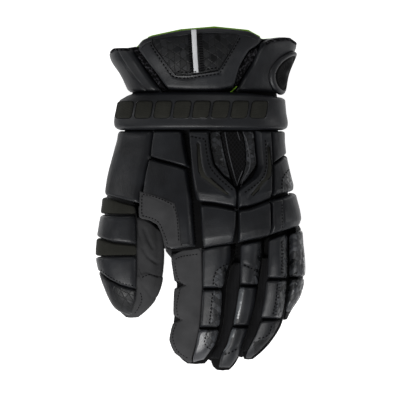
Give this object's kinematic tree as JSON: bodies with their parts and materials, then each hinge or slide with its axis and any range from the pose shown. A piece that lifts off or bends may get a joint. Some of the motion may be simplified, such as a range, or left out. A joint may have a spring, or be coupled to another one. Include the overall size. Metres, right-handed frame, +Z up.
{
  "type": "lacrosse glove",
  "caption": "Padded left-hand lacrosse glove with flared cuff, wrist band, segmented back and finger pads, lying palm down.",
  "frame": {"origin": "on the surface that the glove lies on, under the middle of its bounding box", "axes": "+Z up out of the back of the hand, +Y towards the cuff, -X towards the thumb"},
  "size_m": [0.2024, 0.331, 0.0756],
  "materials": {
    "leather_charcoal": "smooth charcoal synthetic leather",
    "palm_leather": "matte grained palm leather",
    "strap_olive": "matte olive-black webbing",
    "printed_leather": "glossy faceted grey pattern",
    "knit_black": "napped black knit",
    "mesh_black": "open diamond mesh",
    "gusset_black": "stretch gusset fabric",
    "lace_white": "woven flat lace",
    "badge_black": "moulded rubber",
    "lining_green": "knit lining with green edge",
    "shell_black": "dark shell fabric"
  },
  "bodies": {
    "root": {"cuff_centre_pad": "leather_charcoal", "cuff_thumb_wing": "leather_charcoal", "cuff_outer_wing": "leather_charcoal", "wrist_band": "leather_charcoal", "thumb_base_pad": "leather_charcoal", "back_pad_upper": "leather_charcoal", "back_pad_lower": "leather_charcoal", "chevron_thumb_side": "leather_charcoal", "chevron_outer_side": "leather_charcoal", "outer_pad_upper": "leather_charcoal", "outer_pad_lower": "leather_charcoal", "knuckle_pad_index": "leather_charcoal", "knuckle_pad_middle": "leather_charcoal", "knuckle_pad_outer": "leather_charcoal", "thumb_middle_pad": "leather_charcoal", "thumb_tip_pad": "leather_charcoal", "index_pad_1": "leather_charcoal", "index_pad_2": "leather_charcoal", "index_pad_3": "leather_charcoal", "middle_pad_1": "leather_charcoal", "middle_pad_2": "leather_charcoal", "middle_pad_3": "leather_charcoal", "ring_pad_1": "leather_charcoal", "ring_pad_2": "leather_charcoal", "ring_pad_3": "leather_charcoal", "little_pad_1": "leather_charcoal", "little_pad_2": "leather_charcoal", "thumb_stall": "palm_leather", "web_patch": "palm_leather", "index_side_panel": "palm_leather", "thumb_strap_upper": "strap_olive", "thumb_strap_lower": "strap_olive", "cuff_inset_panel": "printed_leather", "vent_panel_thumb_side": "printed_leather", "vent_panel_outer_side": "printed_leather", "thumb_tip_cap": "printed_leather", "cuff_thumb_knit": "knit_black", "cuff_outer_knit": "knit_black", "vent_mesh": "mesh_black", "gusset_index_middle": "gusset_black", "gusset_middle_ring": "gusset_black", "cuff_lace": "lace_white", "cuff_badge": "badge_black", "cuff_lining": "lining_green", "hand_shell": "shell_black", "index_stall": "shell_black", "middle_stall": "shell_black", "ring_stall": "shell_black", "little_stall": "shell_black"}
  },
  "joints": []
}
